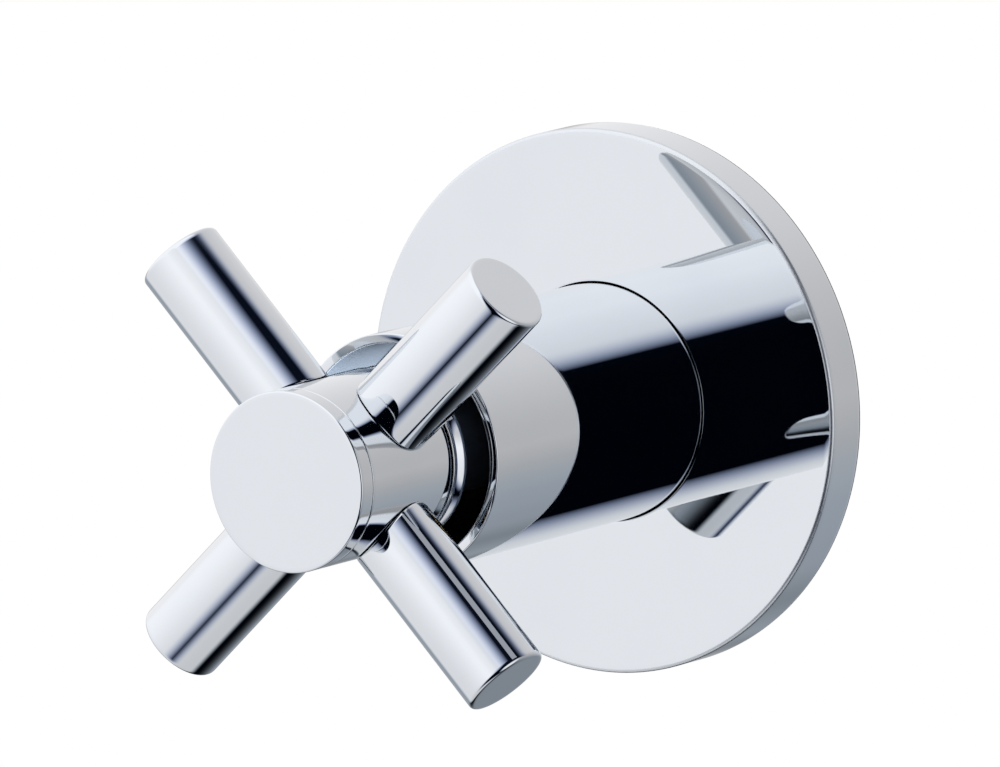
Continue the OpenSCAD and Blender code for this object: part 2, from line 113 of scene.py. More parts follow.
def turned_place_group():
    """Where a point lies on a turned piece: its radius and height in millimetres, and both of
    them as a vector that doesn't change round the spindle."""
    group, given = effect_group("Turned place", [("Vector", "Vector", None)],
                                [("Radius", "Float"), ("Height", "Float"), ("Ringed", "Vector")])
    parts = new_node(group, "ShaderNodeSeparateXYZ", {"Vector": given["Vector"]})
    across = new_node(group, "ShaderNodeCombineXYZ", {"X": parts.outputs["X"], "Y": parts.outputs["Z"]})
    length = new_node(group, "ShaderNodeVectorMath", {0: across.outputs["Vector"]}, operation="LENGTH")
    radius = new_node(group, "ShaderNodeMath", {0: length.outputs["Value"], 1: 1 / MM},
                      operation="MULTIPLY")
    height = new_node(group, "ShaderNodeMath", {0: parts.outputs["Y"], 1: -1 / MM}, operation="MULTIPLY")
    ringed = new_node(group, "ShaderNodeCombineXYZ", {"X": radius.outputs["Value"],
                                                      "Y": height.outputs["Value"]})
    new_node(group, "NodeGroupOutput", {"Radius": radius.outputs["Value"],
                                        "Height": height.outputs["Value"],
                                        "Ringed": ringed.outputs["Vector"]})
    return group


def turned_band_group():
    """A mask that is 1 where both the radius and the height have passed their limits."""
    group, given = effect_group(
        "Turned band", [("Radius", "Float", 0.0), ("Radius start", "Float", 0.0),
                        ("Radius end", "Float", 1.0), ("Height", "Float", 0.0),
                        ("Height start", "Float", 0.0), ("Height end", "Float", 1.0)],
        [("Mask", "Float")])
    sides = [new_node(group, "ShaderNodeMapRange",
                      {"Value": given[side], "From Min": given[side + " start"],
                       "From Max": given[side + " end"]}, interpolation_type="SMOOTHSTEP")
             for side in ("Radius", "Height")]
    both = new_node(group, "ShaderNodeMath", {0: sides[0].outputs["Result"], 1: sides[1].outputs["Result"]},
                    operation="MULTIPLY")
    new_node(group, "NodeGroupOutput", {"Mask": both.outputs["Value"]})
    return group


def polish_haze_group():
    """Faint cloudy haze of a polished surface: a colour and a roughness."""
    group, given = effect_group(
        "Polish haze", [("Vector", "Vector", None), ("Bright", "Color", (0.8, 0.8, 0.8, 1)),
                        ("Hazy", "Color", (0.7, 0.7, 0.7, 1)), ("Cloud scale", "Float", 60.0),
                        ("Sharp", "Float", 0.02), ("Dull", "Float", 0.06)],
        [("Color", "Color"), ("Roughness", "Float")])
    clouds = new_node(group, "ShaderNodeTexNoise",
                      {"Vector": given["Vector"], "Scale": given["Cloud scale"],
                       "Detail": 3.0, "Roughness": 0.55})
    soft = new_node(group, "ShaderNodeMapRange",
                    {"Value": clouds.outputs["Fac"], "From Min": 0.38, "From Max": 0.78},
                    interpolation_type="SMOOTHSTEP")
    tint = new_node(group, "ShaderNodeMix", {0: soft.outputs["Result"], 6: given["Bright"],
                                             7: given["Hazy"]}, data_type="RGBA")
    rough = new_node(group, "ShaderNodeMapRange",
                     {"Value": soft.outputs["Result"], "To Min": given["Sharp"], "To Max": given["Dull"]})
    new_node(group, "NodeGroupOutput", {"Color": tint.outputs[2], "Roughness": rough.outputs["Result"]})
    return group


turned_place, turned_band, polish_haze = turned_place_group(), turned_band_group(), polish_haze_group()


def turned_place_of(tree, vector):
    """The outputs of a Turned place node on this vector."""
    return new_node(tree, "ShaderNodeGroup", {"Vector": vector}, node_tree=turned_place).outputs


def chrome_plating(name, bright, hazy, sharp, dull, band, band_colour, band_roughness, band_metal=1.0):
    """Bright chrome with a faint haze. Past the limits of band, which are the start and end of its radius and of
    its height, it is a duller finish, or on the sleeve's bore a pale paint that is a painted reflection."""
    material = bpy.data.materials.new(name)
    material.use_nodes = True
    tree = material.node_tree
    tree.nodes.clear()
    place = new_node(tree, "ShaderNodeTexCoord").outputs["Object"]
    haze = new_node(tree, "ShaderNodeGroup", node_tree=polish_haze)
    for socket, value in (("Bright", bright), ("Hazy", hazy), ("Sharp", sharp), ("Dull", dull)):
        haze.inputs[socket].default_value = value
    tree.links.new(place, haze.inputs["Vector"])
    turned = turned_place_of(tree, place)
    duller = new_node(tree, "ShaderNodeGroup", node_tree=turned_band)
    for socket, value in zip(("Radius start", "Radius end", "Height start", "Height end"), band):
        duller.inputs[socket].default_value = value
    for socket in ("Radius", "Height"):
        tree.links.new(turned[socket], duller.inputs[socket])
    mask = duller.outputs["Mask"]
    colour = new_node(tree, "ShaderNodeMix", {0: mask, 6: haze.outputs["Color"], 7: band_colour},
                      data_type="RGBA")
    rough = new_node(tree, "ShaderNodeMix", {0: mask, 2: haze.outputs["Roughness"], 3: band_roughness})
    metal = new_node(tree, "ShaderNodeMix", {0: mask, 2: 1.0, 3: band_metal})
    shader = new_node(tree, "ShaderNodeBsdfPrincipled",
                      {"Base Color": colour.outputs[2], "Roughness": rough.outputs[0],
                       "Metallic": metal.outputs[0]})
    new_node(tree, "ShaderNodeOutputMaterial", {"Surface": shader.outputs["BSDF"]})
    return material


chrome_bright, chrome_hazy = (0.775, 0.80, 0.825, 1), (0.757, 0.784, 0.812, 1)
plate_radius, plate_height, plate_edge = 32.5, 6.0, 0.5
plate_chrome = chrome_plating("plate_chrome", chrome_bright, chrome_hazy, 0.012, 0.03,
                              band=(32.0, 32.1, 5.4, 5.55), band_colour=chrome_hazy, band_roughness=0.35)
plate_shape = turned_outline([
    (14.35, plate_height), (14.6, plate_height), (31.2, plate_height), (31.4, plate_height),
    (plate_radius, plate_height), (plate_radius, 4.9), (plate_radius, 4.7), (plate_radius, 0.6),
    (plate_radius, 0.14), (31.0, 0.14), (31.0, 4.4), (17.4, 4.4), (17.4, 1.0), (14.4, 1.0), (14.4, 1.2),
    (16.25, 1.2), (16.25, 3.6), (14.4, 3.6), (14.35, 3.8), (14.35, 5.8)],
    rounds=[(plate_edge, 16, [4]), (0.1, 3, [8, 9]), (0.4, 4, [10, 11]), (0.08, 3, [0])])
spin_round(plate_shape, 360)
finished_piece("wall_plate_plated", plate_shape, plate_chrome, "chrome", "valve", "wall_plate")

# Foam gasket and O-ring of the wall plate.
# The gasket is a die-cut ring of closed-cell foam that beds the plate on the tiles.
# The O-ring is moulded rubber, with the fine line where its two moulds met.


def skin_grain_group():
    """Fine cells in larger patches, as on a moulded or cast skin: a shade, a roughness and a
    height."""
    group, given = effect_group(
        "Skin grain", [("Vector", "Vector", None), ("Grain scale", "Float", 1500.0),
                       ("Roughness", "Float", 0.6)],
        [("Shade", "Float"), ("Roughness", "Float"), ("Height", "Float")])
    cells = new_node(group, "ShaderNodeTexVoronoi", {"Vector": given["Vector"], "Scale": given["Grain scale"]},
                     feature="SMOOTH_F1")
    patch_scale = new_node(group, "ShaderNodeMath", {0: given["Grain scale"], 1: 0.15}, operation="MULTIPLY")
    patches = new_node(group, "ShaderNodeTexNoise", {"Vector": given["Vector"], "Detail": 4.0,
                                                     "Scale": patch_scale.outputs["Value"]})
    shade = new_node(group, "ShaderNodeMath", {0: cells.outputs["Distance"], 1: patches.outputs["Fac"]},
                     operation="MULTIPLY")
    change = new_node(group, "ShaderNodeMapRange", {"Value": patches.outputs["Fac"], "To Min": -0.08,
                                                    "To Max": 0.08})
    rough = new_node(group, "ShaderNodeMath", {0: change.outputs["Result"], 1: given["Roughness"]},
                     operation="ADD")
    new_node(group, "NodeGroupOutput", {"Shade": shade.outputs["Value"], "Roughness": rough.outputs["Value"],
                                        "Height": cells.outputs["Distance"]})
    return group


skin_grain = skin_grain_group()


def grained_material(name, dark, light, grain_scale, grain_depth, roughness, metal=0.0):
    """A moulded, cut or cast skin: two close shades in a fine grain, dull all over."""
    material = bpy.data.materials.new(name)
    material.use_nodes = True
    tree = material.node_tree
    tree.nodes.clear()
    place = new_node(tree, "ShaderNodeTexCoord").outputs["Object"]
    grain = new_node(tree, "ShaderNodeGroup", node_tree=skin_grain)
    tree.links.new(place, grain.inputs["Vector"])
    grain.inputs["Grain scale"].default_value = grain_scale
    grain.inputs["Roughness"].default_value = roughness
    tint = new_node(tree, "ShaderNodeMix", {0: grain.outputs["Shade"], 6: dark, 7: light}, data_type="RGBA")
    bump = new_node(tree, "ShaderNodeBump", {"Strength": 0.6, "Distance": grain_depth,
                                             "Height": grain.outputs["Height"]})
    shader = new_node(tree, "ShaderNodeBsdfPrincipled",
                      {"Base Color": tint.outputs[2], "Roughness": grain.outputs["Roughness"],
                       "Metallic": metal, "Normal": bump.outputs["Normal"]})
    new_node(tree, "ShaderNodeOutputMaterial", {"Surface": shader.outputs["BSDF"]})
    return material


def moulded_ring(name, ring_radii, section_radius, material, body, node):
    """O-rings: a round section spun round the spindle, with a fine ridge at the mould line."""
    rings = bmesh.new()
    for ring_radius, height in ring_radii:
        section = bmesh.ops.create_circle(rings, cap_ends=False, segments=28, radius=section_radius * MM)
        for vert in section["verts"]:
            if abs(vert.co.y) < 1e-9:
                vert.co.x *= 1.03
        bmesh.ops.translate(rings, verts=section["verts"], vec=(ring_radius * MM, -height * MM, 0))
    spin_round(rings, 160)
    return finished_piece(name, rings, material, "rubber", body, node, sharp=70)


foam = grained_material("closed_cell_foam", (0.035, 0.036, 0.04, 1), (0.12, 0.122, 0.13, 1),
                     1500.0, 0.0002, 0.85)
gasket_shape = turned_outline([
    (26.6, 0), (28.8, 0), (32.45, 0), (32.45, 0.13), (30.95, 0.13), (30.95, 2.2), (30.95, 4.35),
    (28.8, 4.35), (26.6, 4.35), (26.6, 2.2)], rounds=[(0.35, 4, [0, 6, 8])])
spin_round(gasket_shape, 240)
for vert in gasket_shape.verts:
    if math.hypot(vert.co.x, vert.co.z) < 27.5 * MM:
        outward = Vector((vert.co.x, 0, vert.co.z)).normalized()
        vert.co += outward * (0.5 + 0.5 * noise.noise(vert.co * 700)) * 0.16 * MM
finished_piece("plate_gasket_foam", gasket_shape, foam, "foam", "valve", "plate_gasket", sharp=60)

rubber = grained_material("moulded_rubber", (0.012, 0.012, 0.013, 1), (0.03, 0.03, 0.031, 1),
                       2600.0, 0.00002, 0.5)
moulded_ring("plate_o_ring_moulded", [(15.225, 2.4)], 1.0, rubber, "valve", "plate_o_ring")

# Sleeve and its bush.
# A straight thin-walled tube with a flat open mouth, plated outside. Its bore, for a few millimetres in from the
# mouth, is a pale blue non-metal paint that is a painted reflection, and beyond that near-black metal that is
# painted shade. A turned brass bush in its wall end screws it onto the cartridge.
sleeve_radius, sleeve_bore, sleeve_mouth, painted_reflection_end = 14.2, 13.0, 49.3, 35.0
# On the bore near the mouth the band is a pale blue non-metal paint: a painted reflection
sleeve_chrome_and_painted_bore_reflection = chrome_plating("sleeve_chrome_and_painted_bore_reflection", chrome_bright, chrome_hazy, 0.012, 0.03,
                               band=(13.06, 13.02, 0.0, 1.0), band_colour=(0.64, 0.77, 0.95, 1),
                               band_roughness=0.4, band_metal=0.0)
sleeve_shape = turned_outline([
    (sleeve_bore, 0.6), (sleeve_radius, 0.6), (sleeve_radius, 0.9), (sleeve_radius, 48.9),
    (sleeve_radius, sleeve_mouth), (13.6, sleeve_mouth), (sleeve_bore, sleeve_mouth),
    (sleeve_bore, 48.9), (sleeve_bore, painted_reflection_end), (sleeve_bore, 0.9)],
    rounds=[(0.2, 6, [4, 6]), (0.12, 3, [0, 1])])
spin_round(sleeve_shape, 360)
for face in sleeve_shape.faces:
    centre = face.calc_center_median()
    if math.hypot(centre.x, centre.z) < (sleeve_bore + 0.05) * MM and -centre.y < painted_reflection_end * MM:
        face.material_index = 1
sleeve = finished_piece("sleeve_plated", sleeve_shape, sleeve_chrome_and_painted_bore_reflection, "chrome", "valve", "sleeve")


def lathe_marks_group():
    """Rings of fine tool marks round the spindle over uneven metal: a colour, a roughness and
    a height."""
    group, given = effect_group(
        "Lathe marks", [("Vector", "Vector", None), ("Bright", "Color", (0.8, 0.6, 0.3, 1)),
                        ("Dark", "Color", (0.6, 0.4, 0.2, 1)), ("Mark scale", "Float", 9.0),
                        ("Shine", "Float", 0.2), ("Dull", "Float", 0.35)],
        [("Color", "Color"), ("Roughness", "Float"), ("Height", "Float")])
    turned = turned_place_of(group, given["Vector"])
    marks = new_node(group, "ShaderNodeTexNoise",
                     {"Vector": turned["Ringed"], "Scale": given["Mark scale"], "Detail": 2.0})
    patches = new_node(group, "ShaderNodeTexNoise", {"Vector": given["Vector"], "Scale": 260.0,
                                                     "Detail": 5.0})
    tint = new_node(group, "ShaderNodeMix", {0: patches.outputs["Fac"], 6: given["Dark"],
                                             7: given["Bright"]}, data_type="RGBA")
    rough = new_node(group, "ShaderNodeMapRange", {"Value": marks.outputs["Fac"],
                                                   "To Min": given["Shine"], "To Max": given["Dull"]})
    new_node(group, "NodeGroupOutput", {"Color": tint.outputs[2], "Roughness": rough.outputs["Result"],
                                        "Height": marks.outputs["Fac"]})
    return group


lathe_marks = lathe_marks_group()


def turned_metal(name, bright, dark, shine, dull, mark_depth, mark_scale=9.0,
                 axis_turn=(0, 0, 0), axis_place=(0, 0, 0)):
    """Bare or dully plated metal that came off a lathe. The piece's axis is the spindle's, or
    axis_turn and axis_place bring the spindle's axis to it."""
    material = bpy.data.materials.new(name)
    material.use_nodes = True
    tree = material.node_tree
    tree.nodes.clear()
    marks = new_node(tree, "ShaderNodeGroup", node_tree=lathe_marks)
    for socket, value in (("Bright", bright), ("Dark", dark), ("Mark scale", mark_scale),
                          ("Shine", shine), ("Dull", dull)):
        marks.inputs[socket].default_value = value
    on_axis = new_node(tree, "ShaderNodeMapping", {
        "Vector": new_node(tree, "ShaderNodeTexCoord").outputs["Object"],
        "Rotation": axis_turn, "Location": axis_place})
    tree.links.new(on_axis.outputs["Vector"], marks.inputs["Vector"])
    bump = new_node(tree, "ShaderNodeBump", {"Strength": 0.5, "Distance": mark_depth,
                                             "Height": marks.outputs["Height"]})
    shader = new_node(tree, "ShaderNodeBsdfPrincipled",
                      {"Base Color": marks.outputs["Color"], "Roughness": marks.outputs["Roughness"],
                       "Metallic": 1.0, "Normal": bump.outputs["Normal"]})
    new_node(tree, "ShaderNodeOutputMaterial", {"Surface": shader.outputs["BSDF"]})
    return material


def finish_cad(node, material):
    """A CAD node whose shape is right keeps it and takes a worked-out finish."""
    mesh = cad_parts[node].data
    mesh.materials.clear()
    mesh.materials.append(material)


# Near-black metal deep in the sleeve's bore: painted shade where the bore lies in shade
painted_shade_bore = turned_metal("sleeve_bore_painted_shade", (0.06, 0.06, 0.07, 1), (0.02, 0.02, 0.024, 1),
                         0.45, 0.6, 0.00001)
sleeve.data.materials.append(painted_shade_bore)
turned_brass = turned_metal("turned_brass", (0.80, 0.62, 0.32, 1), (0.66, 0.47, 0.22, 1),
                            0.17, 0.31, 0.00001)
finish_cad("sleeve_bush", turned_brass)

# Valve body.
# A sand-cast brass run with a boss for the cartridge, and the fine line where its mould
# parted. The boss's mouth, the bores and a hexagon at each port are machined bright.
# Each port has a G1/2 pipe thread.


def blank(name, shape, material):
    """A closed solid that the body is built from: it is joined to the body or cut from it."""
    mesh = bpy.data.meshes.new(name)
    bmesh.ops.recalc_face_normals(shape, faces=shape.faces[:])
    shape.to_mesh(mesh)
    shape.free()
    mesh.materials.append(material)
    made = bpy.data.objects.new(name, mesh)
    bpy.context.scene.collection.objects.link(made)
    return made


def settle(work):
    """Puts what the work's modifiers make into its mesh, and takes them off."""
    rough_mesh = work.data
    graph = bpy.context.evaluated_depsgraph_get()
    work.data = bpy.data.meshes.new_from_object(work.evaluated_get(graph))
    work.modifiers.clear()
    bpy.data.meshes.remove(rough_mesh)


def machine(work, operation, tool):
    """Joins a blank to the work, or cuts it away, and leaves nothing of the blank itself."""
    step = work.modifiers.new(tool.name, "BOOLEAN")
    step.operation, step.solver, step.object, step.material_mode = operation, "EXACT", tool, "TRANSFER"
    settle(work)
    tool_mesh = tool.data
    bpy.data.objects.remove(tool)
    bpy.data.meshes.remove(tool_mesh)


def at_port(shape, side):
    """Turns a form spun round the spindle so that its heights run out along one pipe."""
    bmesh.ops.rotate(shape, verts=shape.verts[:], cent=(0, 0, 0),
                     matrix=Matrix.Rotation(-side * math.pi / 2, 3, "X"))
    bmesh.ops.translate(shape, verts=shape.verts[:], vec=(0, run_depth * MM, 0))
    return shape


def turned_solid(outline, rounds=(), steps=96):
    """A closed turned form whose outline starts and ends on its axis."""
    shape = turned_outline(outline, rounds)
    spin_round(shape, steps)
    return shape


run_depth, run_radius, port_end, hex_length, hex_flats = 31.0, 13.0, 28.0, 10.0, 27.0
boss_front, boss_base, boss_radius, boss_band = 8.0, 44.4, 14.5, 6.0
cast_radius, base_round = 13.7, 4.0
cast_brass = grained_material("cast_brass", (0.40, 0.29, 0.14, 1), (0.85, 0.66, 0.36, 1), 1700.0,
                              0.00022, 0.5, metal=0.9)
port_brass = turned_metal("port_brass", (0.80, 0.62, 0.32, 1), (0.66, 0.47, 0.22, 1), 0.17, 0.31, 0.00001,
                          axis_turn=(math.pi / 2, 0, 0), axis_place=(0, 0, -run_depth * MM))

# The casting: boss and run in one skin, with a soft hollow where they meet
casting = turned_solid([(0, -12), (cast_radius, -12), (cast_radius, -boss_base), (0, -boss_base)],
                       rounds=[(base_round, 8, [2])])
bmesh.ops.create_cone(casting, cap_ends=True, segments=96, radius1=run_radius * MM,
                      radius2=run_radius * MM, depth=38 * MM,
                      matrix=Matrix.Translation((0, run_depth * MM, 0)))
body = blank("casting", casting, cast_brass)
skin = body.modifiers.new("skin", "REMESH")
skin.mode, skin.voxel_size = "VOXEL", 0.0006
soften = body.modifiers.new("soften", "SMOOTH")
soften.factor, soften.iterations = 0.5, 24
settle(body)

# The mould's parting line, a low ridge all round in the plane of both axes
ridge_width, ridge_proud = 0.5, 0.2
for depths, half_length in (((15, boss_base), cast_radius + ridge_proud),
                            ((run_depth - run_radius - ridge_proud, run_depth + run_radius + ridge_proud), 18.5)):
    ridge = bmesh.new()
    bmesh.ops.create_cube(ridge, size=1, matrix=Matrix.Translation((0, sum(depths) / 2 * MM, 0))
                          @ Matrix.Diagonal((ridge_width * MM, (depths[1] - depths[0]) * MM,
                                             2 * half_length * MM, 1)))
    if depths[1] == boss_base:
        base_edges = [edge for edge in ridge.edges if abs(edge.verts[0].co.x - edge.verts[1].co.x) > 0
                      and edge.verts[0].co.y > run_depth * MM]
        bmesh.ops.bevel(ridge, geom=base_edges, offset=base_round * MM, offset_type="OFFSET", segments=8,
                        profile=0.5, affect="EDGES", material=-1)
    machine(body, "UNION", blank("parting_line", ridge, cast_brass))

# The turned band at the boss's mouth, and a hexagon with its corners turned off at each port
machine(body, "UNION", blank("boss_band", turned_solid([
    (0, -boss_front), (cast_radius, -boss_front), (boss_radius, -boss_front - 0.8),
    (boss_radius, -boss_front - boss_band), (cast_radius - 0.2, -boss_front - boss_band - 1.0),
    (0, -boss_front - boss_band - 1.0)]), turned_brass))
corner_radius = hex_flats / math.sqrt(3)
for side in (1, -1):
    hexagon = bmesh.new()
    bmesh.ops.create_cone(hexagon, cap_ends=True, segments=6, radius1=corner_radius * MM,
                          radius2=corner_radius * MM, depth=hex_length * MM,
                          matrix=Matrix.Translation((0, run_depth * MM, side * (port_end - hex_length / 2) * MM))
                          @ Matrix.Rotation(math.pi / 6, 4, "Z"))
    hexagon = blank("port_hexagon", hexagon, port_brass)
    machine(hexagon, "INTERSECT", blank("turned_corners", at_port(turned_solid([
        (0, 10), (16.5, 10), (16.5, port_end - 1.75), (corner_radius - 2, port_end), (0, port_end)]), side),
        port_brass))
    machine(body, "UNION", hexagon)

# Bores: the cartridge's, the two ports with a chamfered mouth, and the passages between
machine(body, "DIFFERENCE", blank("cartridge_bore", turned_solid([
    (0, -7), (11.45, -7), (11.05, -boss_front - 0.3), (10.45, -boss_front - 0.9), (10.45, -16), (11, -16),
    (11, -run_depth), (6.5, -run_depth), (6.5, -40.8), (0, -40.8)]), turned_brass))
thread_pitch, thread_core, thread_radius, thread_floor = 1.814, 9.3155, 10.4775, 15.0
for side, passage_depth in ((1, 25.985), (-1, 36.015)):
    machine(body, "DIFFERENCE", blank("port_bore", at_port(turned_solid([
        (0, thread_floor), (thread_core, thread_floor), (thread_core, port_end - 1.3),
        (10.7, port_end), (10.7, port_end + 1), (0, port_end + 1)]), side), port_brass))
    passage = bmesh.new()
    bmesh.ops.create_cone(passage, cap_ends=True, segments=48, radius1=4.2 * MM, radius2=4.2 * MM,
                          depth=16 * MM, matrix=Matrix.Translation((0, passage_depth * MM, side * 8 * MM)))
    machine(body, "DIFFERENCE", blank("passage", passage, cast_brass))
    # The thread's groove, one long coil from past the mouth to its run-out
    groove = turned_outline([(9.1, thread_floor + 0.1), (9.1, thread_floor + 1.72),
                             (thread_radius, thread_floor + 1.05), (thread_radius, thread_floor + 0.77)])
    turn_steps, turns = 48, 8
    bmesh.ops.spin(groove, geom=groove.verts[:] + groove.edges[:], cent=(0, 0, 0), axis=(0, -1, 0),
                   dvec=(0, -thread_pitch * MM / turn_steps, 0), angle=2 * math.pi * turns,
                   steps=turn_steps * turns, use_merge=False, use_duplicate=False)
    bmesh.ops.holes_fill(groove, edges=[edge for edge in groove.edges if edge.is_boundary], sides=0)
    machine(body, "DIFFERENCE", blank("thread_groove", at_port(groove, side), port_brass))

# The seams left by the cutting are closed
whole = bmesh.new()
whole.from_mesh(body.data)
bmesh.ops.remove_doubles(whole, verts=whole.verts[:], dist=0.002 * MM)
bmesh.ops.dissolve_degenerate(whole, edges=whole.edges[:], dist=0.001 * MM)
bmesh.ops.holes_fill(whole, edges=[edge for edge in whole.edges if edge.is_boundary], sides=0)
bmesh.ops.recalc_face_normals(whole, faces=whole.faces[:])
rough_body, finishes = body.data, body.data.materials[:]
bpy.data.objects.remove(body)
body = finished_piece("valve_body_cast", whole, finishes[0], "cast_brass", "valve", "valve_body")
for finish in finishes[1:]:
    body.data.materials.append(finish)
bpy.data.meshes.remove(rough_body)
fibre = grained_material("fibre_sheet", (0.22, 0.05, 0.035, 1), (0.42, 0.12, 0.08, 1), 1800.0, 0.00004, 0.8)
finish_cad("body_washer", fibre)

# Cartridge.
# A turned brass housing with its hexagon, thread and windowed cage, and in it the
# lapped ceramic discs, the rubber seal and the slip washer.
finish_cad("cartridge_housing", turned_brass)
ceramic = grained_material("lapped_ceramic", (0.80, 0.77, 0.70, 1), (0.90, 0.88, 0.83, 1), 900.0, 0.000004, 0.35)
for disc in ("fixed_disc", "moving_disc"):
    finish_cad(disc, ceramic)
finish_cad("disc_seal", rubber)
slippery = grained_material("slip_plastic", (0.80, 0.80, 0.77, 1), (0.92, 0.92, 0.90, 1), 700.0, 0.00001, 0.45)
finish_cad("slip_washer", slippery)

# Spindle, extension rod and handle screw.
# Turned brass with rolled splines, the rod nickel plated, with its colour darkened as painted shade where it lies
# deep in the sleeve. A steel circlip keeps the spindle in place, two O-rings seal it, and one long screw holds
# handle, rod and spindle.
finish_cad("spindle", turned_brass)
# Nickel plating whose colour is darkened: painted shade for the rod inside the sleeve
nickel_with_painted_shade = turned_metal("nickel_with_painted_shade", (0.34, 0.35, 0.37, 1), (0.22, 0.23, 0.25, 1), 0.3, 0.45, 0.00001)
finish_cad("extension_rod", nickel_with_painted_shade)
plain_steel = turned_metal("plain_steel", (0.62, 0.63, 0.65, 1), (0.50, 0.51, 0.53, 1),
                           0.2, 0.36, 0.00001)
for piece in ("spindle_circlip", "handle_screw"):
    finish_cad(piece, plain_steel)
moulded_ring("spindle_o_rings_moulded", [(3.875, 4.8), (3.875, 0.8)], 0.65, rubber, "handle",
             "spindle_o_rings")

# Hub, its rear rings and its cap.
# The barrel of the handle is turned and plated. Two bright rings with dark grooves
# between them sit behind it, and a plain cap with a bright bevel closes its front.
hub_radius, hub_rear, cap_joint, hub_front = 10.65, 53.4, 69.7, 72.1
handle_chrome = chrome_plating("handle_chrome", chrome_bright, chrome_hazy, 0.012, 0.03,
                               band=(7.5, 7.4, 69.0, 68.0), band_colour=(0.42, 0.46, 0.52, 1),
                               band_roughness=0.42)
hub_shape = turned_outline([
    (hub_radius, hub_rear), (hub_radius, hub_rear + 0.5), (hub_radius, cap_joint - 0.4),
    (hub_radius, cap_joint), (7.45, cap_joint), (7.45, 65.6), (2.2, 65.6), (2.2, 63.4), (4.65, 63.4),
    (4.65, 56.0), (8.05, 56.0), (8.05, hub_rear)],
    rounds=[(0.25, 4, [0]), (0.12, 3, [3])])
spin_round(hub_shape, 256)
finished_piece("handle_hub_plated", hub_shape, handle_chrome, "chrome", "handle", "handle_hub")

ring_radius, ring_groove, ring_bevel = 10.5, 9.7, 10.0
rings_shape = turned_outline([
    (6.3, 50.2), (9.6, 50.2), (ring_radius, 50.2), (ring_radius, 50.7), (ring_bevel, 51.5),
    (ring_groove, 51.5), (ring_groove, 52.05), (ring_radius, 52.05), (ring_radius, 52.85),
    (ring_groove, 52.85), (ring_groove, 53.4), (8.0, 53.4), (8.0, 55.9), (6.3, 55.9)],
    rounds=[(0.1, 3, [2, 7, 8]), (0.06, 2, [3, 4])])
spin_round(rings_shape, 256)
finished_piece("hub_rings_plated", rings_shape, handle_chrome, "chrome", "handle", "hub_rings")

cap_shape = turned_outline([
    (0, 69.8), (6.1, 69.8), (6.1, 67.7), (7.4, 67.7), (7.4, 69.8), (hub_radius, 69.8),
    (hub_radius, 70.1), (hub_radius, 71.5), (hub_radius, hub_front), (10.0, hub_front), (0, hub_front)],
    rounds=[(0.1, 3, [5]), (0.22, 5, [8])])
spin_round(cap_shape, 256)
finished_piece("hub_cap_plated", cap_shape, handle_chrome, "chrome", "handle", "hub_cap")

# Handle bars.
# Four plated bars with flat ends. Each is coped to the barrel, with a fine dark seam,
# and a spigot holds it in the hub.
bar_radius, bar_reach, bar_height, bar_seat = 5.15, 32.4, 60.4, 10.75


def handle_bar(name, node, angle):
    """One bar, spun round +X, coped to the hub, turned to its angle and put at its height."""
    bar = turned_outline([
        (0, 6.6), (2.8, 6.6), (2.8, bar_seat), (bar_radius, bar_seat), (bar_radius, bar_seat + 0.3),
        (bar_radius, bar_reach - 0.7), (bar_radius, bar_reach), (bar_radius - 0.8, bar_reach), (0, bar_reach)],
        rounds=[(0.09, 2, [3]), (0.45, 6, [6])])
    spin_round(bar, 160)
    bmesh.ops.rotate(bar, verts=bar.verts[:], cent=(0, 0, 0), matrix=Matrix.Rotation(math.pi / 2, 3, "Z"))
    for vert in bar.verts:
        if bar_seat - 0.01 <= vert.co.x / MM <= bar_seat + 0.35:
            vert.co.x += math.sqrt((bar_seat * MM) ** 2 - vert.co.z ** 2) - bar_seat * MM
    bmesh.ops.rotate(bar, verts=bar.verts[:], cent=(0, 0, 0),
                     matrix=Matrix.Rotation(math.radians(-angle), 3, "Y"))
    bmesh.ops.translate(bar, verts=bar.verts[:], vec=(0, -bar_height * MM, 0))
    return finished_piece(name, bar, handle_chrome, "chrome", "handle", node)


for side, angle in (("upper_right", 45), ("upper_left", 135), ("lower_left", 225), ("lower_right", 315)):
    handle_bar("bar_" + side + "_plated", "bar_" + side, angle)

# Finished wall and floor.
# A plain white wall behind the plate and a pale floor far below it. The wall is clear
# from behind, so that the valve body shows there, and polished metal sees the light
# tent through both.


def backdrop_material(name, colour, white_to_the_eye, clear_from_behind):
    """Plain paint. A wall that has to vanish is pure white to the camera."""
    material = bpy.data.materials.new(name)
    material.use_nodes = True
    tree = material.node_tree
    tree.nodes.clear()
    ray = new_node(tree, "ShaderNodeLightPath")
    side = new_node(tree, "ShaderNodeNewGeometry")
    clear = new_node(tree, "ShaderNodeBsdfTransparent").outputs["BSDF"]
    seen = new_node(tree, "ShaderNodeBsdfDiffuse", {"Color": colour}).outputs["BSDF"]
    if white_to_the_eye:
        white = new_node(tree, "ShaderNodeEmission", {"Color": (1, 1, 1, 1), "Strength": 1.0})
        seen = new_node(tree, "ShaderNodeMixShader", {0: ray.outputs["Is Camera Ray"], 1: seen,
                                                      2: white.outputs["Emission"]}).outputs["Shader"]
    seen = new_node(tree, "ShaderNodeMixShader",
                    {0: ray.outputs["Is Glossy Ray"], 1: seen, 2: clear}).outputs["Shader"]
    if clear_from_behind:
        seen = new_node(tree, "ShaderNodeMixShader",
                        {0: side.outputs["Backfacing"], 1: seen, 2: clear}).outputs["Shader"]
    new_node(tree, "ShaderNodeOutputMaterial", {"Surface": seen})
    return material


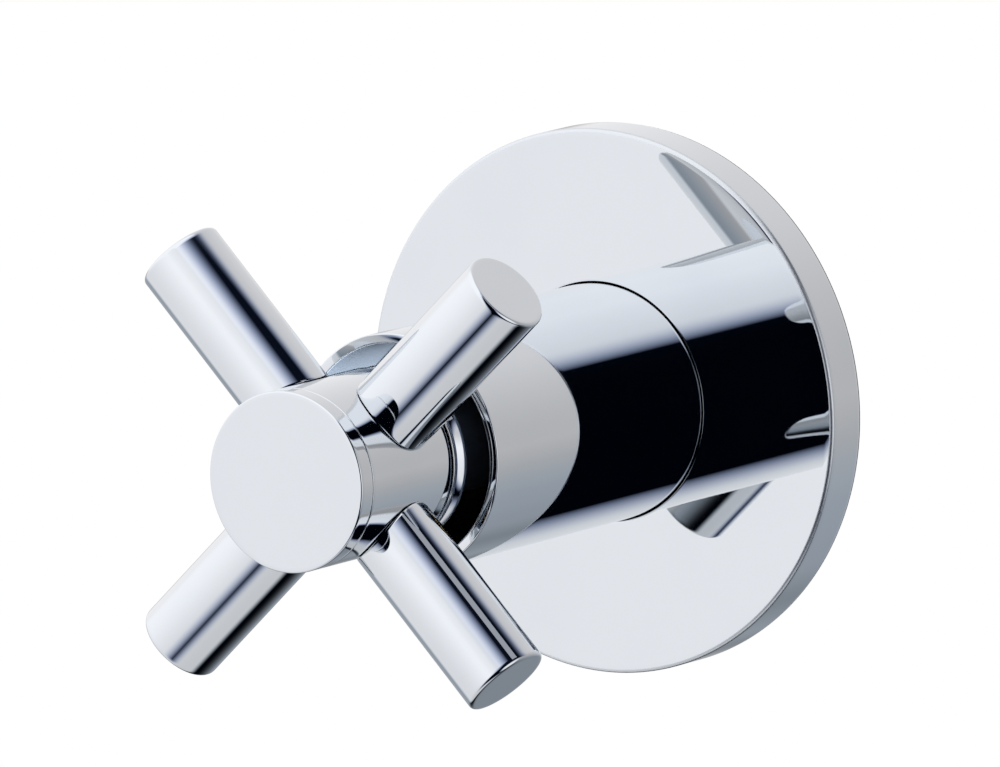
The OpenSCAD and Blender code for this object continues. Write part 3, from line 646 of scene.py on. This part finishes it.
def backdrop(name, half_size, turn, place, material):
    """A flat square sheet of the studio, facing +Z before its turn about X."""
    sheet = bmesh.new()
    bmesh.ops.create_grid(sheet, x_segments=1, y_segments=1, size=half_size)
    bmesh.ops.rotate(sheet, verts=sheet.verts[:], cent=(0, 0, 0), matrix=Matrix.Rotation(turn, 3, "X"))
    bmesh.ops.translate(sheet, verts=sheet.verts[:], vec=place)
    mesh = bpy.data.meshes.new(name)
    sheet.to_mesh(mesh)
    sheet.free()
    mesh.materials.append(material)
    piece = bpy.data.objects.new(name, mesh)
    bpy.context.scene.collection.objects.link(piece)


floor_height = -0.25
backdrop("studio_wall", 0.9, math.pi / 2, (0, 0.0001, 0.9 + floor_height),
         backdrop_material("wall_paint", (0.85, 0.85, 0.85, 1), True, True))
backdrop("studio_floor", 1.8, 0, (0, 0, floor_height),
         backdrop_material("floor_paint", (0.86, 0.86, 0.86, 1), False, False))

# Studio light and camera.
# A pale light tent, a little cool in front and warmer behind, with a dark opening on the camera's side and a dark
# gap low behind, and a slim reflector and a narrow snooted lamp.
world = bpy.data.worlds.new("light_tent")
world.use_nodes = True
bpy.context.scene.world = world
tent = world.node_tree
tent.nodes.clear()


def maths(operation, *values, clamp=False):
    """One Math node of the light tent: its values are sockets or numbers."""
    return new_node(tent, "ShaderNodeMath", dict(enumerate(values)), operation=operation,
                    use_clamp=clamp).outputs["Value"]


def fade(value, low, high, curve="SMOOTHSTEP"):
    """0 up to low and 1 from high on."""
    return new_node(tent, "ShaderNodeMapRange", {"Value": value, "From Min": low, "From Max": high},
                    interpolation_type=curve).outputs["Result"]


def between(share, first, second):
    """A number that goes from first to second as share goes from 0 to 1."""
    return new_node(tent, "ShaderNodeMix", {0: share, 2: first, 3: second}).outputs[0]


way = new_node(tent, "ShaderNodeSeparateXYZ",
               {"Vector": new_node(tent, "ShaderNodeTexCoord").outputs["Generated"]})
right, back, up = way.outputs["X"], way.outputs["Y"], way.outputs["Z"]
# The tent in front: brighter towards the top, dimmer by the camera's dark opening at the right
front_level = maths("MINIMUM", maths("MULTIPLY_ADD", up, 0.36, 1.04), 1.15)
by_opening = maths("MULTIPLY", maths("MAXIMUM", maths("ADD", right, 0.25), 0.0), fade(up, 0.1, 0.4))
by_opening = maths("MULTIPLY", by_opening, maths("SUBTRACT", 1.0, fade(up, 0.55, 0.66)))
front_level = maths("MULTIPLY_ADD", by_opening, -0.4, front_level)
past_edge = maths("SUBTRACT", maths("MULTIPLY_ADD", up, -0.35, right), 0.13)
high = fade(up, -0.5, 0.7, "LINEAR")
edge_share = fade(past_edge, between(high, -0.36, -0.168), between(high, 0.06, 0.042), "LINEAR")
opening = maths("MULTIPLY", maths("MULTIPLY", edge_share, edge_share), fade(up, -0.88, -0.66))
opening = maths("MULTIPLY", opening, maths("SUBTRACT", 1.0, fade(right, 0.78, 0.90)))
opening = maths("MULTIPLY", opening, maths("SUBTRACT", 1.0, fade(back, 0.16, 0.62)))
# The tent behind: brightest at the left and top, dark low down, and a little darker at its
# lower middle and lower left
top_right = maths("MULTIPLY", fade(up, 0.0, 0.6), fade(right, -0.2, 0.2))
back_level = maths("MULTIPLY_ADD", top_right, 0.05, maths("MULTIPLY_ADD", right, -0.32, 0.73))
back_level = maths("MULTIPLY", back_level, fade(up, -1.15, -0.05, "LINEAR"))
back_level = maths("MULTIPLY", back_level, fade(up, -0.92, -0.50))
low_middle = maths("MULTIPLY", maths("SUBTRACT", 1.0, fade(up, -0.42, -0.20)),
                   maths("SUBTRACT", 1.0, fade(right, -0.15, 0.10)))
low_middle = maths("MULTIPLY", low_middle, fade(right, -0.62, -0.50))
back_level = maths("MULTIPLY", back_level, maths("MULTIPLY_ADD", low_middle, -0.35, 1.0))
low_left = maths("MULTIPLY", maths("SUBTRACT", 1.0, fade(up, -0.10, 0.05)),
                 maths("SUBTRACT", 1.0, fade(right, -0.45, -0.30)))
back_level = maths("MULTIPLY", back_level, maths("MULTIPLY_ADD", low_left, -0.4, 1.0))
behind = fade(back, 0.02, 0.30)


def mixed_colour(share, first, second):
    """A colour that goes from first to second as share goes from 0 to 1."""
    return new_node(tent, "ShaderNodeMix", {0: share, 6: first, 7: second},
                    data_type="RGBA").outputs[2]


back_colour = mixed_colour(fade(up, -0.5, -0.1), (0.90, 1.0, 1.12, 1), (1.01, 1.0, 1.01, 1))
tent_colour = mixed_colour(behind, (0.995, 1.0, 1.023, 1), back_colour)
tent_colour = mixed_colour(opening, tent_colour, (0.7, 0.85, 1.3, 1))
level = between(behind, front_level, back_level)
tent_light = new_node(tent, "ShaderNodeVectorMath", {0: tent_colour}, operation="SCALE")
tent.links.new(maths("MULTIPLY", level, maths("SUBTRACT", 1.0, opening)), tent_light.inputs["Scale"])
dark_light = mixed_colour(fade(up, 0.3, 0.75), (0.0003, 0.001, 0.003, 1), (0.003, 0.005, 0.012, 1))
seen_light = new_node(tent, "ShaderNodeVectorMath", {0: tent_light.outputs["Vector"], 1: dark_light},
                      operation="ADD")
tent_light = new_node(tent, "ShaderNodeBackground", {"Color": seen_light.outputs["Vector"], "Strength": 1.0})
tent_white = new_node(tent, "ShaderNodeBackground", {"Color": (1, 1, 1, 1), "Strength": 1.0})
tent_mix = new_node(tent, "ShaderNodeMixShader",
                    {0: new_node(tent, "ShaderNodeLightPath").outputs["Is Camera Ray"],
                     1: tent_light.outputs["Background"], 2: tent_white.outputs["Background"]})
new_node(tent, "ShaderNodeOutputWorld", {"Surface": tent_mix.outputs["Shader"]})

# A slim reflector above the right of the handle, which only the lower right bar shows
reflector = bpy.data.lights.new("slim_reflector", "AREA")
reflector.shape = "RECTANGLE"
reflector.size, reflector.size_y = 0.038, 0.025
reflector.energy = 0.00122
reflector.color = (0.92, 0.96, 1.05)
reflector_piece = bpy.data.objects.new("slim_reflector", reflector)
reflector_piece.location = (0.0668, -0.0675, 0.0739)
facing = Vector((0.0, -0.0604, 0.0)) - reflector_piece.location
along_bar = Vector((1, 0, -1)).normalized()
facing = (facing - facing.dot(along_bar) * along_bar).normalized()
reflector_piece.matrix_world = Matrix.Translation(reflector_piece.location) @ Matrix(
    (along_bar, (-facing).cross(along_bar), -facing)).transposed().to_4x4()
bpy.context.scene.collection.objects.link(reflector_piece)

view_azimuth, view_elevation, view_distance = math.radians(33.72), math.radians(9.73), 2.3214
view_target = Vector((-0.002896, -0.023214, 0.004321))
towards_camera = Vector((math.sin(view_azimuth) * math.cos(view_elevation),
                         -math.cos(view_azimuth) * math.cos(view_elevation),
                         math.sin(view_elevation)))
view_from = view_target + view_distance * towards_camera

# A narrow snooted lamp that reaches into the sleeve's mouth, and leaves no highlight on the chrome
snoot = bpy.data.lights.new("mouth_snoot", "SPOT")
snoot.energy, snoot.shadow_soft_size = 84.0, 0.004
snoot.spot_size, snoot.spot_blend = math.radians(2.0), 0.2
snoot_piece = bpy.data.objects.new("mouth_snoot", snoot)
snoot_piece.location = Vector((0, -sleeve_mouth * MM, 0)) + towards_camera
snoot_piece.rotation_euler = towards_camera.to_track_quat("Z", "Y").to_euler()
snoot_piece.visible_glossy = False
bpy.context.scene.collection.objects.link(snoot_piece)

camera_data = bpy.data.cameras.new("photo_view")
camera_data.sensor_fit = "HORIZONTAL"
camera_data.sensor_width = 36.0
camera_data.lens = 711.8
camera_data.clip_start = 0.1
camera_data.clip_end = 20.0
camera = bpy.data.objects.new("photo_view", camera_data)
camera.location = view_from
camera.rotation_euler = (view_target - view_from).to_track_quat("-Z", "Y").to_euler()
bpy.context.scene.collection.objects.link(camera)
bpy.context.scene.camera = camera
bpy.context.scene.view_settings.view_transform = "Standard"
